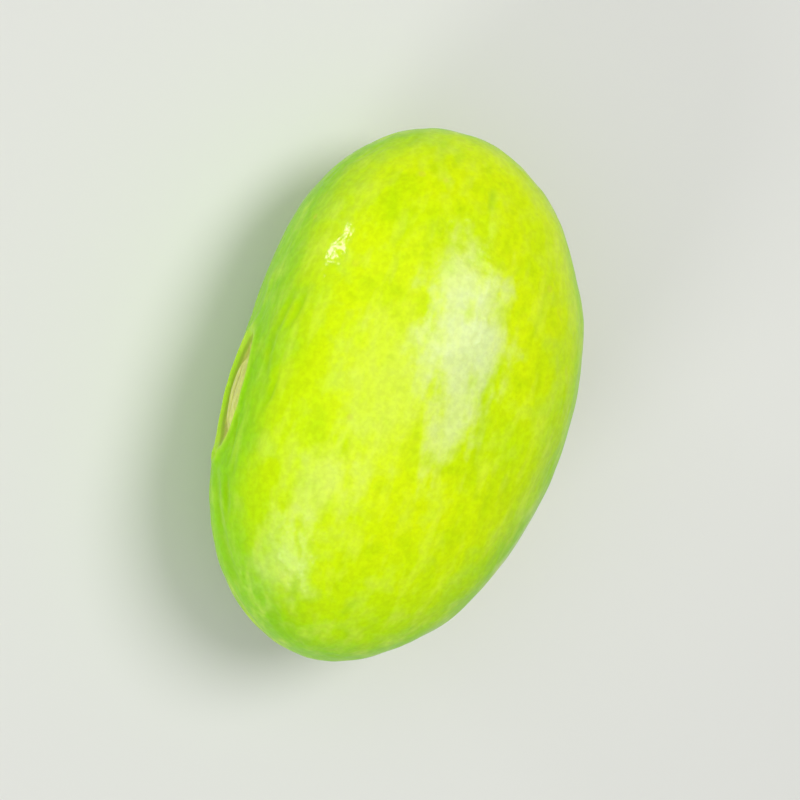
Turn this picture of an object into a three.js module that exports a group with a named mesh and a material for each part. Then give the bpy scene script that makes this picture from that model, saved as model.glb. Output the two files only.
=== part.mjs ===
// One shelled edamame: a green soybean seed out of its pod, lying on its broad side.
// Millimetres, +Z up. X runs along the seed, with the end that its root points from at +X.
// The two seed leaves (cotyledons) meet in the plane halfway up, and the scar where the
// seed hung in its pod (the hilum) faces -Y. The origin is on the surface that the seed
// rests on, below the middle of its box.
//
// The seed grew as one piece, so it is one closed surface: a ball whose points are moved
// out to the seed's form, and then a little in or out again for the relief on its coat.
// The ball's pole is turned to the scar, so that its rings run round it.

import * as THREE from 'three';
import { mergeVertices } from 'three/addons/utils/BufferGeometryUtils.js';

// ---- driving dimensions, in millimetres ----

const LENGTH = 17.1; // along X
const WIDTH = 10.7; // along Y, from the hilum's side to the back
const THICKNESS = 8.7; // along Z, through both cotyledons, from the resting face
const REST_HOLLOW = 0.12; // how much of the rounded underside has settled flat

const HILUM_LENGTH = 3.4;
const HILUM_WIDTH = 1.5;
const HILUM_X = 1.2; // the scar lies a little towards the root's end
const HILUM_SINK = 0.16; // depth of the dish round the scar's pad
const HILUM_PAD = 0.14; // how far the pad stands up in its dish

const BEND = 0.2; // how far both ends curl towards the hilum's side, as in a kidney
const WAIST_DEPTH = 0.6; // the shallow waist beside the hilum, away from the root
const WAIST_X = -1.2;
const WAIST_LENGTH = 2.4;
const WAIST_HEIGHT = 2.8;

const RADICLE_HEIGHT = 0.16; // the germ's root lies under the coat as a low ridge
const RADICLE_WIDTH = 0.8;
const RADICLE_FROM = 2.7; // where the ridge starts and ends along X
const RADICLE_TO = 8.2;
const RADICLE_TIP = 1.4; // the lengths over which its tip rises and its far end fades
const RADICLE_TAIL = 2.6;

// ---- the shape's own numbers ----

const TAPER = 0.037; // how much narrower the seed is towards +X, as a share of its width
const BROAD_SIDE = 2.2; // cross-section's exponent: 2 is an ellipse, more is flatter-sided
const PLUMP = 0.15; // how much thicker the ends are than an ellipse's

const DISH_RIM = 1.25; // where the dish starts and is full, in half-sizes of the scar
const DISH_FLOOR = 0.8;
const PAD_FOOT = 0.85; // and the same for the pad
const PAD_TOP = 0.3;

const RINGS = 40; // of the ball, from the scar to the middle of the seed's back
const MERIDIANS = 72;
const GATHERED = 0.65; // how closely the rings are drawn in round the scar
const GATHER_REACH = 0.6; // how far from the scar that reaches, in radians

// ---- small helpers ----

const bell = (distance, width) => Math.exp(-0.5 * (distance / width) ** 2);

const smoothStep = (from, to, value) => {
  const t = THREE.MathUtils.clamp((value - from) / (to - from), 0, 1);
  return t * t * (3 - 2 * t);
};

// ---- the seed's form ----

const pole = new THREE.Vector3(0, -1, 0);
const hilumDirection = new THREE.Vector3(HILUM_X / (LENGTH / 2), -1, 0).normalize();
const poleToHilum = new THREE.Quaternion().setFromUnitVectors(pole, hilumDirection);

// Draws a direction towards the pole, so that the fine relief there has points to show it,
// and then turns the pole to the hilum.
function gather(direction) {
  const angle = direction.angleTo(pole);
  const turn = angle * GATHERED * Math.exp(-((angle / GATHER_REACH) ** 2));
  const axis = direction.clone().cross(pole).normalize();
  return direction.applyAxisAngle(axis, turn).applyQuaternion(poleToHilum);
}

// How far a cross-section stands outside an ellipse in the direction (y, z).
function squareness(y, z) {
  const across = Math.hypot(y, z);
  if (across < 1e-6) return 1;
  const sum = Math.abs(y / across) ** BROAD_SIDE + Math.abs(z / across) ** BROAD_SIDE;
  return sum ** (-1 / BROAD_SIDE);
}

// The smooth seed's point in a direction from its middle.
function smoothPoint({ x, y, z }) {
  const fullness = (1 - TAPER * x) * squareness(y, z);
  return new THREE.Vector3(
    (x * LENGTH) / 2,
    (y * fullness * WIDTH) / 2 - BEND * x * x,
    (z * fullness * (1 + PLUMP * x * x) * THICKNESS) / 2,
  );
}

// ---- the relief on its coat, in millimetres outwards ----

// The scar: a dish with a pad on its floor.
function hilumRelief(along, up) {
  const ring = Math.hypot(along / (HILUM_LENGTH / 2), up / (HILUM_WIDTH / 2));
  const dish = -HILUM_SINK * smoothStep(DISH_RIM, DISH_FLOOR, ring);
  const pad = HILUM_PAD * smoothStep(PAD_FOOT, PAD_TOP, ring);
  return dish + pad;
}

function relief({ x, y, z }) {
  const hilumSide = smoothStep(0, -WIDTH / 4, y); // 1 on the scar's side, 0 on the back
  const waist = -WAIST_DEPTH * bell(x - WAIST_X, WAIST_LENGTH) * bell(z, WAIST_HEIGHT);
  const onRidge =
    hilumSide *
    smoothStep(RADICLE_FROM, RADICLE_FROM + RADICLE_TIP, x) *
    smoothStep(RADICLE_TO, RADICLE_TO - RADICLE_TAIL, x);
  const radicle = RADICLE_HEIGHT * onRidge * bell(z, RADICLE_WIDTH);
  return hilumSide * (waist + hilumRelief(x - HILUM_X, z)) + radicle;
}

// Moves a point of the smooth seed in or out by the relief there.
function withRelief(point) {
  const outwards = new THREE.Vector3(
    point.x / LENGTH ** 2,
    point.y / WIDTH ** 2,
    point.z / THICKNESS ** 2,
  ).normalize();
  return point.addScaledVector(outwards, relief(point));
}

// ---- the surface ----

// Brings the surface to its exact size, with the middle of its box over the origin, and
// settles the lowest part of its underside flat on Z = 0.
function setDown(geometry) {
  geometry.computeBoundingBox();
  const size = geometry.boundingBox.getSize(new THREE.Vector3());
  const centre = geometry.boundingBox.getCenter(new THREE.Vector3());
  const height = THICKNESS + REST_HOLLOW;
  geometry.translate(-centre.x, -centre.y, -centre.z);
  geometry.scale(LENGTH / size.x, WIDTH / size.y, height / size.z);
  geometry.translate(0, 0, height / 2 - REST_HOLLOW);

  const position = geometry.attributes.position;
  for (let i = 0; i < position.count; i++) {
    position.setZ(i, Math.max(0, position.getZ(i)));
  }
}

function beanGeometry() {
  const ball = new THREE.SphereGeometry(1, MERIDIANS, RINGS);
  ball.deleteAttribute('normal');
  ball.deleteAttribute('uv');
  const geometry = mergeVertices(ball);

  const position = geometry.attributes.position;
  const direction = new THREE.Vector3();
  for (let i = 0; i < position.count; i++) {
    direction.fromBufferAttribute(position, i).normalize();
    const point = withRelief(smoothPoint(gather(direction)));
    position.setXYZ(i, point.x, point.y, point.z);
  }
  setDown(geometry);
  geometry.computeVertexNormals();
  return geometry;
}

// ---- the part ----

const seedCoat = new THREE.MeshStandardMaterial({
  color: 0xb4dc1e,
  roughness: 0.4,
  metalness: 0,
});

const bean = new THREE.Mesh(beanGeometry(), seedCoat);
bean.name = 'bean';

const edamame = new THREE.Group();
edamame.add(bean);

export default edamame;
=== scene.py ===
# %% [markdown]
# # One shelled edamame
# An edamame is a soybean picked green. Shelled, blanched and frozen, it is an oval seed about as
# long as a fingertip is wide, and it has three things to show: a thin, moist, slightly see-through
# coat, a scar on one long side where it hung in the pod, and a low ridge beside the scar where the
# root of the germ lies under the coat.
#
# This lesson starts from a measured solid of the seed, which sets its size and place. We fit a
# clean cage of four-sided faces to it, subdivide the cage until it can hold fine relief, press the
# scar and the creases into it, and then build one material that does what the coat does to light.

# %% Load the measured solid and note its box
import math

import bpy
import numpy as np
from mathutils import Matrix, Vector, noise


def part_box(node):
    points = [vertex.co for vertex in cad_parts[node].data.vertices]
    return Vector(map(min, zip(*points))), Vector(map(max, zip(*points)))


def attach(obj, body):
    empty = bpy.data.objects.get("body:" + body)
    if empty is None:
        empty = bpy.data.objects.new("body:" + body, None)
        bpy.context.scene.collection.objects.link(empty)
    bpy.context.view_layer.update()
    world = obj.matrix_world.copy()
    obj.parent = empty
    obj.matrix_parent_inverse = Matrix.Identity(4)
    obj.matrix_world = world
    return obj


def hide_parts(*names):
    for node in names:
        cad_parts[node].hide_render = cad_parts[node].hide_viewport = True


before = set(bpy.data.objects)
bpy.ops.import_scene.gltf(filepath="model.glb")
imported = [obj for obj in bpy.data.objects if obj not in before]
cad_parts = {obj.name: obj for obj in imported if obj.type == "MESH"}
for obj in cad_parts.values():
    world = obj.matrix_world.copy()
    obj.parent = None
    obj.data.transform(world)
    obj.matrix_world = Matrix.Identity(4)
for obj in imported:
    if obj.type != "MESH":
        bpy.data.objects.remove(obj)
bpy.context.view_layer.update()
low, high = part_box("bean")
MM = 0.001
middle = (low + high) / 2
size = high - low
print("bean box in mm:", [round(side / MM, 2) for side in size])

# %% [markdown]
# ## The camera
# The seed lies on its broad side. The camera looks down on it, twenty degrees off the vertical
# towards the scar, so that the scar shows as a narrow crescent at the seed's edge. The lens is a
# long one, because a short one held this close would swell the middle of the seed. Last, the camera
# is rolled about its own axis, so that the seed leans a little to the right.

# %% The camera
LENS = 100.0  # this and the sensor's width are in mm
SENSOR = 36.0
SEED_SHARE = 0.68  # the seed's length, as a share of the frame's height
LEAN = math.radians(17)
TILT = math.radians(20)

frame_height = size.x / SEED_SHARE
camera_distance = frame_height * LENS / SENSOR
camera_turn = Matrix.Rotation(TILT, 3, "X") @ Matrix.Rotation(math.radians(90) + LEAN, 3, "Z")
bpy.ops.object.camera_add(
    location=middle + camera_turn @ Vector((0, 0, camera_distance)),
    rotation=camera_turn.to_euler(),
)
camera = bpy.context.object
camera.data.lens = LENS
camera.data.sensor_width = SENSOR
camera.data.clip_start = 1 * MM
bpy.context.scene.camera = camera
print("camera stands", round(camera_distance / MM, 1), "mm above the middle of the seed")

# %% [markdown]
# ## The floor and the studio lights
# A pale matt floor keeps the colour of the seed clean. Four soft boxes light it. The key box hangs
# almost overhead and draws the pale highlight on the seed's crown. The ceiling box is far larger and
# fills in from the scar's side. The glint box is small, bright and just above the floor, so the wet
# coat shows it as one crisp streak beside the scar. The end box lights the end of the seed that the
# root grows from. A soft box is soft when it is large beside its subject, so for a seed of 17 mm one
# of 70 mm is broad. All are round, because a wet skin would show the corners of a square one.

# %% The floor
FLOOR_RADIUS = 700 * MM


def hex_colour(code):
    """A colour written as sRGB hex, as the linear numbers that Blender's nodes take."""
    parts = [int(code[i:i + 2], 16) / 255 for i in (1, 3, 5)]
    linear = [c / 12.92 if c <= 0.04045 else ((c + 0.055) / 1.055) ** 2.4 for c in parts]
    return (*linear, 1.0)


def add_node(tree, kind, settings=None, inputs=None):
    """Adds a node. An input's value is a plain value, or the output socket to link to it."""
    node = tree.nodes.new("ShaderNode" + kind)
    for name, value in (settings or {}).items():
        setattr(node, name, value)
    for key, value in (inputs or {}).items():
        if isinstance(value, bpy.types.NodeSocket):
            tree.links.new(value, node.inputs[key])
        else:
            node.inputs[key].default_value = value
    return node


def new_material(name):
    """An empty node material, and its tree and output node."""
    material = bpy.data.materials.new(name)
    material.use_nodes = True
    material.node_tree.nodes.clear()
    output = add_node(material.node_tree, "OutputMaterial")
    return material, material.node_tree, output


bpy.ops.object.select_all(action="DESELECT")
bpy.ops.mesh.primitive_circle_add(vertices=96, radius=FLOOR_RADIUS, fill_type="NGON")
floor = bpy.context.object
floor.name = "floor"

# uncoated paper scatters light evenly, so the floor shows a soft shadow and no reflection
floor_paper, tree, output = new_material("matt paper")
floor_shader = add_node(tree, "BsdfPrincipled", inputs={
    "Base Color": hex_colour("#E3E4DF"),
    "Roughness": 0.9,
    "Specular IOR Level": 0.2,
})
tree.links.new(floor_shader.outputs[0], output.inputs["Surface"])
floor.data.materials.append(floor_paper)
print("floor radius in mm:", round(FLOOR_RADIUS / MM))

# %% The lights
WORLD_STRENGTH = 0.28


def add_soft_box(name, place_mm, width_mm, height_mm, watts):
    """A round area light at a place in millimetres from the seed's middle, facing it."""
    place = middle + Vector(place_mm) * MM
    bpy.ops.object.light_add(type="AREA", location=place)
    light = bpy.context.object
    light.name = name
    light.data.shape = "ELLIPSE"
    light.data.size = width_mm * MM
    light.data.size_y = height_mm * MM
    light.data.energy = watts
    light.visible_camera = False
    light.rotation_euler = (middle - place).to_track_quat("-Z", "Y").to_euler()
    print(name, "at", round((middle - place).length / MM), "mm")


add_soft_box("key box", (-52, 32, 150), 66, 84, 0.125)
add_soft_box("ceiling box", (0, -80, 205), 320, 320, 0.14)
add_soft_box("glint box", (-58, -150, 9), 10, 22, 0.05)
add_soft_box("end box", (122, -78, 62), 60, 60, 0.07)

world = bpy.data.worlds.new("studio")
world.use_nodes = True
background = world.node_tree.nodes["Background"]
background.inputs["Color"].default_value = hex_colour("#FFFFFF")
background.inputs["Strength"].default_value = WORLD_STRENGTH
bpy.context.scene.world = world
bpy.context.scene.view_settings.view_transform = "Standard"

# %% [markdown]
# ## The cage
# A seed is a ball that has been stretched, so we could start from a UV sphere, but its two poles
# pinch the shading at the ends. A cube that is subdivided and blown up into a ball has only
# four-sided faces of nearly one size, and no poles. Before the cage is fitted, its points are drawn
# in round the scar with proportional editing, so that the finest relief gets the finest faces.

# %% The cage: a cube blown up into a ball, stretched to the seed's box
CAGE_CUTS = 15  # on each side of the cube


def select_vertices(obj, chosen):
    """Selects the vertices whose position passes a test, and nothing else. Leaves edit mode on."""
    bpy.ops.object.mode_set(mode="EDIT")
    bpy.ops.mesh.select_all(action="DESELECT")
    bpy.ops.object.mode_set(mode="OBJECT")
    count = 0
    for vertex in obj.data.vertices:
        vertex.select = bool(chosen(vertex.co))
        count += vertex.select
    bpy.ops.object.mode_set(mode="EDIT")
    return count


bpy.ops.object.select_all(action="DESELECT")
bpy.ops.mesh.primitive_cube_add(size=2)
bean = bpy.context.object
bean.name = "bean_skin"
bpy.ops.object.mode_set(mode="EDIT")
bpy.ops.mesh.subdivide(number_cuts=CAGE_CUTS)
bpy.ops.transform.tosphere(value=1)
bpy.ops.object.mode_set(mode="OBJECT")
ball_radius = max(vertex.co.length for vertex in bean.data.vertices)
bpy.ops.object.mode_set(mode="EDIT")
bpy.ops.transform.resize(value=size / (2 * ball_radius))
bpy.ops.transform.translate(value=middle)
bpy.ops.object.mode_set(mode="OBJECT")
print("cage faces:", len(bean.data.polygons))

# %% Draw the cage's points in round the scar
SCAR_X = 1.2 * MM
DRAWN_IN = 0.36  # the picked points' new spread, as a share of their old one
PICKED_WITHIN = 0.9 * MM  # how far from the scar's middle a point is still picked
DRAWN_REACH = 6 * MM  # how far the drawing-in is felt

scar = Vector((SCAR_X, low.y, middle.z))
nearest = min(bean.data.vertices, key=lambda vertex: (vertex.co - scar).length)
drawn_to = nearest.co.copy()
picked = select_vertices(bean, lambda co: (co - drawn_to).length < PICKED_WITHIN)
bpy.ops.transform.resize(
    value=(DRAWN_IN, 1, DRAWN_IN),
    center_override=drawn_to,
    use_proportional_edit=True,
    proportional_edit_falloff="SMOOTH",
    proportional_size=DRAWN_REACH,
)
bpy.ops.object.mode_set(mode="OBJECT")
print("points picked at the scar:", picked)

# %% Wrap the cage onto the measured solid, and subdivide it
SMOOTHED_REACH = 2.6 * MM
SMOOTHED_TIMES = 8
FINE_LEVELS = 3  # each level splits a face in four

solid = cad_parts["bean"]


def apply_modifier(obj, kind, **settings):
    """Adds a modifier to obj, sets it up and applies it at once."""
    bpy.ops.object.select_all(action="DESELECT")
    bpy.context.view_layer.objects.active = obj
    obj.select_set(True)
    modifier = obj.modifiers.new(kind.lower(), kind)
    for name, value in settings.items():
        setattr(modifier, name, value)
    bpy.ops.object.modifier_apply(modifier=modifier.name)


apply_modifier(bean, "SHRINKWRAP", target=solid, wrap_method="NEAREST_SURFACEPOINT")

# the scar's own relief comes later and finer, so its coarse copy is smoothed away here
select_vertices(bean, lambda co: (co - scar).length < SMOOTHED_REACH)
bpy.ops.mesh.vertices_smooth(factor=0.5, repeat=SMOOTHED_TIMES)
bpy.ops.object.mode_set(mode="OBJECT")
apply_modifier(bean, "SUBSURF", levels=FINE_LEVELS, render_levels=FINE_LEVELS)
bpy.ops.object.shade_smooth()
mean_area = sum(face.area for face in bean.data.polygons) / len(bean.data.polygons)
print("fine faces:", len(bean.data.polygons), "about", round(mean_area ** 0.5 / MM, 3), "mm wide")

# %% [markdown]
# ## How the relief is pressed in
# Fine relief could be sculpted by hand, but here every groove has a place and a size that can be
# written down. So each feature is a height in millimetres, worked out at every point of the mesh.
# A Displace modifier then moves the points along their normals. It knows only one strength, so the
# greatest height becomes the strength, and each point's share of it goes into a vertex group.
#
# Some numbers are also kept on the points themselves, as attributes, because the material needs
# them: where the scar is, where the creases run. They are distances rather than sharp masks where
# an edge has to be crisp, because a distance stays true between two points and a mask blurs.

# %% Helpers for relief


def places_mm(obj):
    """The places of obj's points in millimetres, as three arrays: x, y and z."""
    flat = np.empty(3 * len(obj.data.vertices))
    obj.data.vertices.foreach_get("co", flat)
    return (flat.reshape(-1, 3) / MM).T


def smooth_step(start, end, value):
    """0 up to start, 1 from end on, and a smooth S between them."""
    t = np.clip((value - start) / (end - start), 0, 1)
    return t * t * (3 - 2 * t)


def bell(distance, width):
    """1 at no distance, falling off smoothly over about twice the width."""
    return np.exp(-0.5 * (distance / width) ** 2)


def press(obj, name, heights):
    """Moves each point of obj along its normal, by its own height in millimetres."""
    for sign in (1, -1):
        share = np.clip(sign * heights, 0, None)
        peak = float(share.max())
        if peak == 0:
            continue
        group = obj.vertex_groups.new(name=name)
        for index in np.flatnonzero(share > 0):
            group.add([int(index)], share[index] / peak, "REPLACE")
        apply_modifier(obj, "DISPLACE", vertex_group=name, strength=sign * peak * MM, mid_level=0)
        obj.vertex_groups.clear()
    print(f"{name}: from {heights.min():.3f} to {heights.max():.3f} mm")


def paint(obj, name, values):
    """Keeps a number from 0 to 1 at each point of obj, for the material to read."""
    layer = obj.data.attributes.new(name, "FLOAT", "POINT")
    layer.data.foreach_set("value", np.clip(values, 0, 1).astype(np.float32))


def cloudy(grain_mm, seed, stretch=(1, 1, 1), octaves=2):
    """A smooth random number for every point, about -1 to 1, in lumps that are grain_mm across."""
    offset = Vector((seed * 17.3, seed * 5.9, seed * 11.1))
    scale = Vector(stretch) / grain_mm
    spots = (Vector(spot) * scale + offset for spot in zip(x, y, z))
    return np.array([noise.fractal(spot, 1.0, 2.0, octaves) for spot in spots])


print("points to press:", len(bean.data.vertices))

# %% [markdown]
# ## The soft unevenness of the seed
# No seed is a perfect oval. Its seed leaves are a little flat in places, and blanching and freezing
# leave shallow dents in them. Over those the coat has its own finer dimples, and where it is slack
# it ripples along the seed. All of this hardly changes the outline, but it bends every reflection,
# and that is what tells the eye that it looks at something grown. Near the floor the relief fades
# out, because the seed is settled flat there.

# %% Press in the soft unevenness
DENTS = 0.14  # these four are heights in mm
DIMPLES = 0.03
PEEL = 0.011
RIPPLES = 0.035

x, y, z = places_mm(bean)
mid_z = middle.z / MM
off_floor = smooth_step(0.1, 1.5, z)

press(bean, "dents", DENTS * off_floor * cloudy(grain_mm=5.0, seed=1))
press(bean, "dimples", DIMPLES * off_floor * cloudy(grain_mm=1.5, seed=2, stretch=(0.7, 1, 1)))
press(bean, "peel", PEEL * off_floor * cloudy(grain_mm=0.55, seed=3, octaves=1))
slack = smooth_step(-0.3, 0.3, cloudy(grain_mm=4.0, seed=4))
ripples = cloudy(grain_mm=0.9, seed=7, stretch=(0.32, 1, 1), octaves=1)
press(bean, "ripples", RIPPLES * off_floor * slack * ripples)

# %% [markdown]
# ## The scar
# The scar, or hilum, is where the seed's stalk was joined to it. It is a shallow dish with a raised
# lip, and a corky pad stands on its floor, split along its middle by a narrow slit. Just beyond the
# end that the root points at there is a pinhole, the micropyle. From the other end a faint raised
# line, the raphe, runs a few millimetres along the coat. The scar is an oval, so one number says
# how far out a point is: its ring, which is 1 all round the scar's edge and 0 in its middle.

# %% Press in the scar's dish, lip, pad and slit
SCAR_LENGTH = 3.4  # these seven are in mm
SCAR_WIDTH = 1.5
DISH_DEPTH = 0.2
LIP_HEIGHT = 0.08
PAD_HEIGHT = 0.15
SLIT_DEPTH = 0.12
SLIT_WIDTH = 0.05
LIP_RING = 1.22  # these six are ring numbers
LIP_RING_WIDTH = 0.11
DISH_RIM = 1.14
DISH_FLOOR = 0.84
PAD_FOOT = 0.82
PAD_TOP = 0.45

x, y, z = places_mm(bean)
front = smooth_step(0, -2.5, y)
along = x - SCAR_X / MM
up = z - mid_z
ring = np.hypot(along / (SCAR_LENGTH / 2), up / (SCAR_WIDTH / 2))
ring += 0.06 * cloudy(grain_mm=0.8, seed=12)

dish = -DISH_DEPTH * smooth_step(DISH_RIM, DISH_FLOOR, ring)
lip = LIP_HEIGHT * bell(ring - LIP_RING, LIP_RING_WIDTH)
pad = PAD_HEIGHT * smooth_step(PAD_FOOT, PAD_TOP, ring)
wavy_up = up - 0.03 * cloudy(grain_mm=0.9, seed=13)
slit_ends = smooth_step(1.5, 0.5, np.abs(along) + 0.2 * cloudy(grain_mm=0.5, seed=14))
slit = -SLIT_DEPTH * bell(wavy_up, SLIT_WIDTH) * slit_ends
scar_relief = dish + lip + pad + slit
print("points inside the scar:", int((front * (ring < 1)).sum()))

# %% Press in the pinhole and the raphe, with the scar
PINHOLE_ALONG = 2.05  # from the scar's middle, in mm
PINHOLE_DEPTH = 0.12
PINHOLE_WIDTH = 0.08
COLLAR_HEIGHT = 0.03
COLLAR_RADIUS = 0.3
COLLAR_WIDTH = 0.1
RAPHE_HEIGHT = 0.04
RAPHE_WIDTH = 0.14
KNOB_ALONG = -3.6
KNOB_HEIGHT = 0.05
KNOB_WIDTH = 0.3
RINGS_KEPT = 2.0  # how far out the ring number is kept, and the same for the other two in mm
SLIT_REACH = 0.4
PINHOLE_REACH = 0.5

from_pinhole = np.hypot(along - PINHOLE_ALONG, up)
pinhole = -PINHOLE_DEPTH * bell(from_pinhole, PINHOLE_WIDTH)
collar = COLLAR_HEIGHT * bell(from_pinhole - COLLAR_RADIUS, COLLAR_WIDTH)

on_raphe = smooth_step(-1.7, -2.0, along) * smooth_step(-4.2, -3.4, along)
raphe = RAPHE_HEIGHT * on_raphe * bell(up, RAPHE_WIDTH)
raphe_knob = KNOB_HEIGHT * bell(np.hypot(along - KNOB_ALONG, up), KNOB_WIDTH)

press(bean, "scar", front * (scar_relief + pinhole + collar + raphe + raphe_knob))

# both are kept as distances, so that the material can draw crisp edges from them
paint(bean, "scar_ring", 1 - front * (1 - ring / RINGS_KEPT))
near_slit = 1 - np.abs(wavy_up) / SLIT_REACH - 0.3 * (1 - slit_ends)
near_pinhole = 1 - from_pinhole / PINHOLE_REACH
paint(bean, "slit", front * np.maximum(near_slit, near_pinhole))

# %% [markdown]
# ## The root under the coat
# Beyond the pinhole the coat is stretched over the little root of the germ. The root's ridge is
# already in the measured solid. What is missing is the narrow valley on each side, where the coat
# dips between the root and the seed leaves.

# %% Press in the valleys beside the root
ROOT_START = 2.3  # from the scar's middle, in mm
ROOT_WIDENS_OVER = 4.0
ROOT_TIP = 0.3  # half the root's width at its tip, and how much more it is further on
ROOT_WIDENS_BY = 0.55
VALLEY_DEPTH = 0.06
VALLEY_WIDTH = 0.16

x, y, z = places_mm(bean)
up = z - mid_z
along = x - SCAR_X / MM
root_share = np.clip((along - ROOT_START) / ROOT_WIDENS_OVER, 0, 1)
half_root = ROOT_TIP + ROOT_WIDENS_BY * np.sqrt(root_share)
beside_root = bell(np.abs(up) - half_root, VALLEY_WIDTH)
on_root = smooth_step(2.2, 2.8, along) * smooth_step(6.2, 4.6, along) * smooth_step(0, -1, y)
valley = on_root * beside_root
press(bean, "root valleys", -VALLEY_DEPTH * valley)

# %% [markdown]
# ## Creases in the coat
# A blanched coat fits like a damp glove. It is tight over the broad sides, and puckers round the
# scar and at the two ends, where it curves most. Each crease here is a groove along a slightly bent
# line, with low shoulders where the coat is pushed up. The places, lengths and depths come from a
# seeded random generator, so that they are the same each time.

# %% One crease
FADE_NEAR = 0.8  # a groove fades out between these two depths below its place, in mm, and so it
FADE_FAR = 1.6  # stays on its own side of the seed
SHOULDER_SPREAD = 2.6  # how much wider the shoulders are than the groove
SHOULDER_SHARE = 0.3  # of the groove's depth
GROOVE_SHARE = 1 + SHOULDER_SHARE  # cut deeper by what the shoulders fill in

x, y, z = places_mm(bean)
spots = np.stack([x, y, z], axis=1)
normals = np.array([vertex.normal for vertex in bean.data.vertices])


def crease(place, heading, length, width, depth, bend):
    """A groove's heights in mm, and its line, which is 1 along its middle and 0 off it.

    All sizes are in mm. The groove lies at the point nearest to place, and bend is how far its
    middle bows sideways.
    """
    nearest = np.argmin(((spots - place) ** 2).sum(axis=1))
    normal = normals[nearest]
    along = np.array(heading) - normal * normal.dot(heading)
    along /= np.linalg.norm(along)
    sideways = np.cross(normal, along)
    reach = spots - spots[nearest]
    run = reach @ along / (length / 2)
    off_line = reach @ sideways - bend * (1 - run * run)
    on_this_side = smooth_step(FADE_FAR, FADE_NEAR, np.abs(reach @ normal))
    fade = np.clip(1 - run * run, 0, 1) ** 1.5 * on_this_side
    line = fade * bell(off_line, width)
    shoulders = fade * bell(off_line, SHOULDER_SPREAD * width)
    return depth * (SHOULDER_SHARE * shoulders - GROOVE_SHARE * line), line


print("points that a groove can be pressed into:", len(spots))


# %% Press in the creases
FULL_CREASE_SHADE = 0.05
AROUND_SCAR = 16
AT_ENDS = 22
OVER_SIDES = 12

dice = np.random.default_rng(21)
creases = np.zeros(len(x))
crease_shade = np.zeros(len(x))


def add_crease(**shape):
    """Adds one crease to all the others, and to the painted shade in the creases: a deeper crease is
    painted darker, up to FULL_CREASE_SHADE in mm.
    """
    groove, line = crease(**shape)
    creases[:] += groove
    crease_shade[:] = np.maximum(crease_shade, line * shape["depth"] / FULL_CREASE_SHADE)


# round the scar, following its long sides
for index in range(AROUND_SCAR):
    side = 1 if index % 2 else -1
    height = side * dice.uniform(0.95, 2.9)
    start = SCAR_X / MM + dice.uniform(-3.2, 3.6)
    add_crease(
        place=(start, -5.3, mid_z + height),
        heading=(1.0, 0.0, dice.uniform(-0.25, 0.25)),
        length=dice.uniform(1.2, 3.2),
        width=dice.uniform(0.06, 0.11),
        depth=dice.uniform(0.02, 0.05),
        bend=side * dice.uniform(0.05, 0.3),
    )

# at the two ends, running up onto the broad sides
for index in range(AT_ENDS):
    end = 1 if index % 2 else -1
    angle = dice.uniform(0, 2 * math.pi)
    across = 3.2 * math.cos(angle)
    height = 2.8 * math.sin(angle)
    add_crease(
        place=(end * dice.uniform(5.8, 8.2), across, mid_z + height),
        heading=(1.0, dice.uniform(-0.5, 0.5), dice.uniform(-0.5, 0.5)),
        length=dice.uniform(1.0, 2.6),
        width=dice.uniform(0.06, 0.12),
        depth=dice.uniform(0.015, 0.04),
        bend=dice.uniform(-0.25, 0.25),
    )

# long slack ones over the broad sides
for index in range(OVER_SIDES):
    upper = index % 3 > 0
    add_crease(
        place=(dice.uniform(-5.5, 5.5), dice.uniform(-3.8, 3.8), 9 if upper else 0),
        heading=(1.0, dice.uniform(-0.3, 0.3), 0.0),
        length=dice.uniform(2.5, 5.0),
        width=dice.uniform(0.1, 0.16),
        depth=dice.uniform(0.012, 0.026),
        bend=dice.uniform(-0.4, 0.4),
    )

press(bean, "creases", smooth_step(0.1, 1.0, z) * creases)
print("creases:", AROUND_SCAR + AT_ENDS + OVER_SIDES)

# %% Press in the fine wrinkles
# A cloudy pattern crosses zero along wandering lines, and those lines become the wrinkles.
WRINKLE_DEPTH = 0.018

x, y, z = places_mm(bean)
loose = smooth_step(-0.1, 0.45, cloudy(grain_mm=3.5, seed=8))
lines = 1 - np.abs(cloudy(grain_mm=0.75, seed=9, stretch=(0.3, 1, 1)))
wrinkles = smooth_step(0.72, 1.0, lines) * loose * smooth_step(0.1, 1.5, z)
press(bean, "wrinkles", -WRINKLE_DEPTH * wrinkles)
# where the creases and the valleys beside the root are, for the painted shade in them
paint(bean, "fold", crease_shade + 0.8 * valley)

# %% [markdown]
# ## The seam between the seed leaves
# Along the back and round both ends, the edge where the two seed leaves meet shows through the coat
# as a faint, interrupted line. It could be a crease like the others, but it runs round the whole
# seed, so it is pressed in wherever a point lies near the plane halfway up.

# %% Press in the seam
SEAM_DEPTH = 0.035
SEAM_WIDTH = 0.13

x, y, z = places_mm(bean)
up = z - mid_z
wander = 0.15 * cloudy(grain_mm=4.0, seed=5)
patchy = smooth_step(-0.15, 0.35, cloudy(grain_mm=3.0, seed=6))
away_from_scar = np.maximum(smooth_step(0.5, 2.5, y), smooth_step(6.6, 7.8, np.abs(x)))
seam = away_from_scar * (0.3 + 0.7 * patchy) * bell(up - wander, SEAM_WIDTH)
press(bean, "seam", -SEAM_DEPTH * seam)
paint(bean, "seam", seam)

# %% [markdown]
# ## Back to the measured size
# Pressing in and pushing out has changed the seed's size by a hair. Its measured box is a promise to
# whoever uses the part, so the whole seed is moved and scaled by that hair, back into its box.

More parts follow.
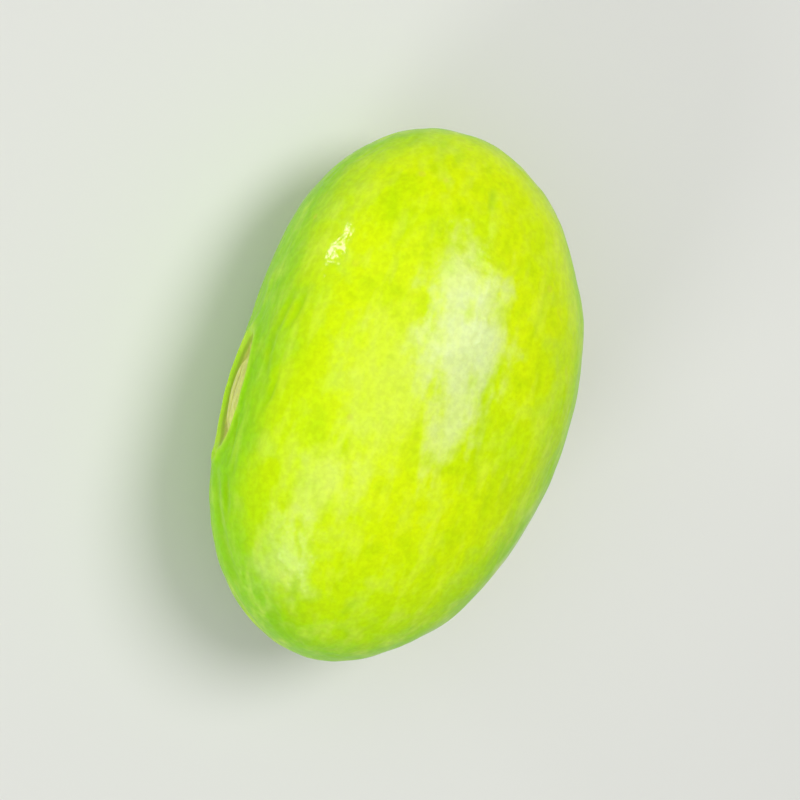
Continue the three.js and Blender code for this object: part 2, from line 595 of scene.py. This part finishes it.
# %% Bring the seed back to its measured box
x, y, z = places_mm(bean)
mesh_low = Vector((x.min(), y.min(), z.min())) * MM
mesh_high = Vector((x.max(), y.max(), z.max())) * MM
fit = Vector(wanted / had for wanted, had in zip(size, mesh_high - mesh_low))
select_vertices(bean, lambda co: True)
bpy.ops.transform.translate(value=middle - (mesh_low + mesh_high) / 2)
bpy.ops.transform.resize(value=fit, center_override=middle)
bpy.ops.object.mode_set(mode="OBJECT")
print("scaled to fit by", [round(share, 4) for share in fit])

# %% [markdown]
# ## The seed coat
# The real surface is a blanched seed coat: a skin a tenth of a millimetre thick, moist and slightly
# see-through, over the pale green tissue of the seed leaves. Three things follow for the eye. Light
# goes in, spreads through the tissue and comes out greener, which is subsurface scattering. The
# colour is mottled, because the coat lies wet on the tissue in one place and is lifted off it in
# the next, where it looks paler. And the film of water on it shines more sharply than the skin does.
#
# The colour could be one gradient, but it would look like a sweet. It is built like a painting
# instead, from broad washes to fine marks: the ripe yellow-green of the broad sides, a greener band of
# painted shade round the edge, blotches and strands, a few freckles, pale patches of frost bloom and
# of painted highlight, and last the folds with painted shade in them, the seam and the scar with
# painted shade in its dish and slit, which follow the numbers kept with the relief.

# %% Colours of the seed coat
# The fresh greens have almost no blue in them. What is pale is the coat itself, seen with air or frost
# under it, the corky scar, and the painted highlight on the seed's top.
LEAF_GREEN = hex_colour("#C0E800")
LEAF_YELLOW = hex_colour("#DAF200")
# deep green blotches, and the painted shade in creases
BLOTCH_AND_CREASE_SHADE_GREEN = hex_colour("#96CC00")
# the painted shade round the edge
SHADE_BAND_GREEN = hex_colour("#90D400")
LIFTED_COAT = hex_colour("#E4F85A")
# frost bloom, and the painted highlight on the seed's top
BLOOM_AND_HIGHLIGHT = hex_colour("#E0F0A6")
FRECKLE = hex_colour("#D6DA3C")
SEAM_GREEN = hex_colour("#CDEB3C")
SCAR_PAD = hex_colour("#D9DE7E")
# the dish's wall, darkened as painted shade
SCAR_WALL_AND_SHADE = hex_colour("#BEC756")
SCAR_EDGE = hex_colour("#8C9C30")
# the slit's own brown, darkened further as painted shade
SLIT_BROWN_AND_SHADE = hex_colour("#8A7F38")
print("the ripe green, in linear numbers:", [round(part, 3) for part in LEAF_YELLOW[:3]])

# %% Seed coat: patterns, from the broadest to the finest
DRIFT_MM = 4.5  # the uneven ripening of a broad side
MOTTLE_MM = 0.95  # where the coat lies wet on the tissue or is lifted off it
STRAND_MM = 0.5  # the tissue's strands, drawn out along the seed
PORE_MM = 0.6
GRAIN_MM = 0.2

coat, tree, output = new_material("blanched seed coat")
place = add_node(tree, "TexCoord").outputs["Object"]
place_mm = add_node(tree, "VectorMath", {"operation": "SCALE"}, {0: place, "Scale": 1 / MM}).outputs[0]

drift = add_node(tree, "TexNoise", inputs={
    "Vector": place_mm, "Scale": 1 / DRIFT_MM, "Detail": 2, "Roughness": 0.5,
}).outputs["Fac"]
mottle = add_node(tree, "TexNoise", inputs={
    "Vector": place_mm, "Scale": 1 / MOTTLE_MM, "Detail": 3, "Roughness": 0.55,
}).outputs["Fac"]
long_place = add_node(tree, "Mapping", inputs={"Vector": place_mm, "Scale": (0.3, 1, 1)}).outputs[0]
strands = add_node(tree, "TexNoise", inputs={
    "Vector": long_place, "Scale": 1 / STRAND_MM, "Detail": 2, "Roughness": 0.5,
}).outputs["Fac"]

# the coat's cells and pores are a few hundredths of a millimetre across, far too fine to show, so
# both are drawn several times coarser than they are
grain = add_node(tree, "TexNoise", inputs={
    "Vector": place_mm, "Scale": 1 / GRAIN_MM, "Detail": 2, "Roughness": 0.6,
}).outputs["Fac"]
pores = add_node(tree, "TexVoronoi", inputs={
    "Vector": place_mm, "Scale": 1 / PORE_MM,
}).outputs["Distance"]
print("nodes after the patterns:", len(tree.nodes))

# %% [markdown]
# ## Washes of colour
# Each wash takes a pattern, turns a stretch of it into a share from 0 to 1, and lays its colour over
# what is there by that share. A Color Ramp could hold all the colours of one pattern in one node,
# but separate washes can each follow a different pattern, and each can be turned down on its own.

# %% Seed coat: laying one colour over another


def lay_over(under, colour, pattern, start, end, most=1.0, smooth=False):
    """Lays a colour over what is under it, by a share that grows as the pattern nears end."""
    share = add_node(tree, "MapRange", {"interpolation_type": "SMOOTHSTEP" if smooth else "LINEAR"}, {
        "Value": pattern, "From Min": start, "From Max": end, "To Max": most,
    }).outputs[0]
    return add_node(tree, "Mix", {"data_type": "RGBA"}, {0: share, 6: under, 7: colour}).outputs[2]


broad_sides = lay_over(LEAF_GREEN, LEAF_YELLOW, drift, 0.25, 0.5)
print("nodes after the broad sides:", len(tree.nodes))

# %% Seed coat: the band of painted shade round the edge
# The seed is painted greener round its edge as the camera sees it, where the two seed leaves meet.
# This band is painted shade, for the edge that turns away from the light. It is tilted by the camera's
# twenty degrees, so it rises towards the back. It is weaker there and at the end away from the root,
# and the broad drift and the mottle make its borders ragged.
SHADE_BAND_TILT = math.radians(20)
BAND_FADES_FROM = -1.0  # along the seed from its middle, in mm
BAND_FADES_TO = -8.0
BAND_FADES_BY = 1.4

from_middle = add_node(tree, "VectorMath", {"operation": "SUBTRACT"}, {
    0: place_mm, 1: tuple(middle / MM),
}).outputs[0]
above_shade_band = add_node(tree, "VectorMath", {"operation": "DOT_PRODUCT"}, {
    0: from_middle, 1: (0, -math.sin(SHADE_BAND_TILT), math.cos(SHADE_BAND_TILT)),
}).outputs["Value"]
off_shade_band = add_node(tree, "Math", {"operation": "ABSOLUTE"}, {0: above_shade_band}).outputs[0]
along_seed, towards_back, _ = add_node(tree, "SeparateXYZ", inputs={0: from_middle}).outputs
band_fades_at_end = add_node(tree, "MapRange", inputs={
    "Value": along_seed, "From Min": BAND_FADES_FROM, "From Max": BAND_FADES_TO, "To Max": BAND_FADES_BY,
}).outputs[0]
off_shade_band = add_node(tree, "Math", {"operation": "ADD"}, {0: off_shade_band, 1: band_fades_at_end}).outputs[0]
for uneven, strength in ((towards_back, 0.24), (drift, -3.0), (mottle, -2.0)):
    off_shade_band = add_node(tree, "Math", {"operation": "MULTIPLY_ADD"}, {
        0: uneven, 1: strength, 2: off_shade_band,
    }).outputs[0]
# the edge is painted a deeper green, as shade
shade_banded = lay_over(broad_sides, SHADE_BAND_GREEN, off_shade_band, 1.35, -1.05, smooth=True)
print("nodes after the band:", len(tree.nodes))

# %% Seed coat: dark and pale blotches
blotched = lay_over(shade_banded, BLOTCH_AND_CREASE_SHADE_GREEN, mottle, 0.48, 0.3, most=0.26)
lifted = lay_over(blotched, LIFTED_COAT, mottle, 0.52, 0.7, most=0.24)
print("nodes after the blotches:", len(tree.nodes))

# %% Seed coat: a few freckles
# A Voronoi pattern gives each cell a random colour, so one cell in five is picked by its red.
FRECKLE_MM = 1.1

freckles = add_node(tree, "TexVoronoi", inputs={"Vector": place_mm, "Scale": 1 / FRECKLE_MM})
freckle_luck = add_node(tree, "SeparateXYZ", inputs={0: freckles.outputs["Color"]}).outputs["X"]
freckle_tint = lay_over(lifted, FRECKLE, freckles.outputs["Distance"], 0.15, 0.06, smooth=True)
freckled = lay_over(lifted, freckle_tint, freckle_luck, 0.8, 0.84, most=0.5)
print("nodes after the freckles:", len(tree.nodes))

# %% Seed coat: pale patches where the coat stands off the tissue or holds a bloom of fine frost, and painted highlight
# Each patch is an oval cloud at a place of its own. The mottle and the strands fray its edge. The six
# on the seed's top are mostly painted highlight, laid where the soft boxes shine on the coat. The
# three on its back and underside are frost bloom.
PALE_AND_HIGHLIGHT_PATCHES = [
    # centre in mm, reach each way in mm, greatest share
    ((-3.9, -0.6, 8.5), (1.5, 1.2, 3.0), 0.57),
    ((-2.3, -0.1, 8.7), (1.8, 1.5, 3.0), 0.92),
    ((-0.4, 0.2, 8.7), (2.2, 0.9, 3.0), 0.7),
    ((-0.6, -1.8, 8.5), (2.6, 1.8, 3.0), 0.15),
    ((3.0, -3.0, 7.9), (1.4, 1.0, 2.0), 0.25),
    ((5.8, -3.1, 7.2), (1.7, 0.9, 2.0), 0.25),
    ((-5.2, 2.9, 2.0), (2.0, 1.6, 1.6), 0.5),
    ((3.4, 4.2, 5.2), (2.6, 1.6, 1.3), 0.5),
    ((2.5, 0.8, 0.3), (3.0, 1.8, 2.0), 0.5),
]
bloomed_and_highlit = freckled
for centre, reach, most in PALE_AND_HIGHLIGHT_PATCHES:
    from_centre = add_node(tree, "VectorMath", {"operation": "SUBTRACT"}, {
        0: place_mm, 1: centre,
    }).outputs[0]
    in_reaches = add_node(tree, "VectorMath", {"operation": "DIVIDE"}, {
        0: from_centre, 1: reach,
    }).outputs[0]
    ragged = add_node(tree, "VectorMath", {"operation": "LENGTH"}, {0: in_reaches}).outputs["Value"]
    for uneven, strength in ((mottle, -1.6), (strands, -1.4)):
        ragged = add_node(tree, "Math", {"operation": "MULTIPLY_ADD"}, {
            0: uneven, 1: strength, 2: ragged,
        }).outputs[0]
    # a pale patch, which on the seed's top is mostly painted highlight
    bloomed_and_highlit = lay_over(bloomed_and_highlit, BLOOM_AND_HIGHLIGHT, ragged, -0.2, -1.35, most=most, smooth=True)
print("pale patches:", len(PALE_AND_HIGHLIGHT_PATCHES))

# %% Seed coat: strands and specks, over all of it
# They also run through the pale patches, because the same tissue lies under them.
stranded = lay_over(bloomed_and_highlit, LIFTED_COAT, strands, 0.52, 0.7, most=0.25)
speckle = add_node(tree, "MapRange", inputs={
    "Value": grain, "From Min": 0.36, "From Max": 0.64, "To Min": 0.95, "To Max": 1.05,
}).outputs[0]
speckled = add_node(tree, "HueSaturation", inputs={"Value": speckle, "Color": stranded}).outputs[0]
print("nodes after the specks:", len(tree.nodes))

# %% Seed coat: creases and seam
crease_shade_line = add_node(tree, "Attribute", {"attribute_name": "fold"}).outputs["Fac"]
# the creases and the root's valleys are painted darker, as shade in them
crease_shaded = lay_over(speckled, BLOTCH_AND_CREASE_SHADE_GREEN, crease_shade_line, 0.0, 1.0, most=0.5)
seam_line = add_node(tree, "Attribute", {"attribute_name": "seam"}).outputs["Fac"]
seamed = lay_over(crease_shaded, SEAM_GREEN, seam_line, 0.0, 1.0, most=0.45)
print("nodes after the seam:", len(tree.nodes))

# %% [markdown]
# ## The scar's own colours
# The scar is dry cork in a green skin, so it needs colours of its own. It could be a second material
# on the faces inside it, but the border would then follow the faces. The ring number that was kept
# with the relief gives a clean oval instead: a faint pale lip, a thin dark edge, the dish's wall
# painted darker as the shade in the dish, and the buff pad, with fibres along it. The slit and the
# pinhole are painted dark, partly their own brown and partly painted shade.

# %% Seed coat: the scar, in zones from its lip inwards, and the slit and the pinhole
FIBRE_MM = 0.35
SCAR_ZONES = [
    # ring where it starts, ring where it is full, greatest share, colour
    (1.4, 1.16, 0.28, LIFTED_COAT),
    (1.06, 1.0, 0.6, SCAR_EDGE),
    # the dish's wall is painted darker, as the shade in the dish
    (0.98, 0.93, 1.0, SCAR_WALL_AND_SHADE),
    (0.8, 0.6, 1.0, SCAR_PAD),
]

kept_ring = add_node(tree, "Attribute", {"attribute_name": "scar_ring"}).outputs["Fac"]
scar_ring = add_node(tree, "Math", {"operation": "MULTIPLY"}, {0: kept_ring, 1: RINGS_KEPT}).outputs[0]
scarred = seamed
for start, end, most, zone_colour in SCAR_ZONES:
    scarred = lay_over(scarred, zone_colour, scar_ring, start, end, most=most, smooth=True)

# fibres are finer across the scar than along it
in_scar = add_node(tree, "MapRange", inputs={
    "Value": scar_ring, "From Min": 1.0, "From Max": 0.94,
}).outputs[0]
fibre_place = add_node(tree, "Mapping", inputs={"Vector": place_mm, "Scale": (1, 1, 4)}).outputs[0]
fibres = add_node(tree, "TexNoise", inputs={
    "Vector": fibre_place, "Scale": 1 / FIBRE_MM, "Detail": 3, "Roughness": 0.6,
}).outputs["Fac"]
fibre_value = add_node(tree, "MapRange", inputs={
    "Value": fibres, "From Min": 0.35, "From Max": 0.65, "To Min": 0.86, "To Max": 1.1,
}).outputs[0]
fibrous = add_node(tree, "HueSaturation", inputs={
    "Value": fibre_value, "Fac": in_scar, "Color": scarred,
}).outputs[0]
kept_slit = add_node(tree, "Attribute", {"attribute_name": "slit"}).outputs["Fac"]
# the slit and the pinhole are painted dark, partly their own brown and partly painted shade in them
colour = lay_over(fibrous, SLIT_BROWN_AND_SHADE, kept_slit, 0.76, 0.94, most=0.85, smooth=True)
print("nodes after the scar:", len(tree.nodes))

# %% [markdown]
# ## Fine relief and shine
# The relief that is finer than the faces is left to a Bump node, which only bends the light. There
# are two surfaces to bend it on. The skin is finely grained and satin. The film of water on it
# follows the skin's broad relief but fills its finest pits, so it gets a smoother relief of its own,
# and a glint on it stays whole where the skin alone would glitter.

# %% Seed coat: fine relief, in millimetres
BUMP_STRENGTH = 0.8


def add_relief(patterns, height=0.0):
    """The normal of a surface raised by each pattern times its height in mm."""
    for pattern, relief_mm in patterns:
        height = add_node(tree, "Math", {"operation": "MULTIPLY_ADD"}, {
            0: pattern, 1: relief_mm, 2: height,
        }).outputs[0]
    return add_node(tree, "Bump", inputs={
        "Height": height, "Distance": MM, "Strength": BUMP_STRENGTH,
    }).outputs[0]


pore_depth = add_node(tree, "MapRange", inputs={
    "Value": pores, "From Min": 0.0, "From Max": 0.22, "To Min": -1, "To Max": 0,
}).outputs[0]
fibre_share = add_node(tree, "Math", {"operation": "MULTIPLY"}, {0: fibres, 1: in_scar}).outputs[0]
broad_relief = [(mottle, 0.07), (fibre_share, 0.06)]
skin_normal = add_relief([*broad_relief, (strands, 0.03), (grain, 0.016), (pore_depth, 0.012)])
water_normal = add_relief([*broad_relief, (strands, 0.015)])
print("nodes after the relief:", len(tree.nodes))

# %% Seed coat: the shader
# Plant skin has an IOR near 1.4 and is satin. Its own reflection is weak, because water, whose IOR is
# nearly the same, lies on it. The coat layer is that water, and it is the sharper of the two. Green
# light travels furthest through the tissue and blue hardly at all.
SKIN_IOR = 1.38
WATER_IOR = 1.33
SPREAD_MM = 0.25
LIGHT_SPREADS = (1.0, 1.2, 0.3)  # red, green and blue light, each as a share of SPREAD_MM

skin_roughness = add_node(tree, "MapRange", inputs={
    "Value": mottle, "From Min": 0.3, "From Max": 0.7, "To Min": 0.36, "To Max": 0.48,
}).outputs[0]
shader = add_node(tree, "BsdfPrincipled", inputs={
    "Base Color": colour,
    "Roughness": skin_roughness,
    "IOR": SKIN_IOR,
    "Specular IOR Level": 0.08,
    "Subsurface Weight": 0.5,
    "Subsurface Radius": LIGHT_SPREADS,
    "Subsurface Scale": SPREAD_MM * MM,
    "Coat Weight": 0.34,
    "Coat Roughness": 0.13,
    "Coat IOR": WATER_IOR,
    "Normal": skin_normal,
    "Coat Normal": water_normal,
})
tree.links.new(shader.outputs[0], output.inputs["Surface"])
bean.data.materials.append(coat)
print("nodes in the seed coat:", len(tree.nodes))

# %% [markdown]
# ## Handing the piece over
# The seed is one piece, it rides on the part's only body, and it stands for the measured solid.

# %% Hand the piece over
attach(bean, "root")
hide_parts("bean")
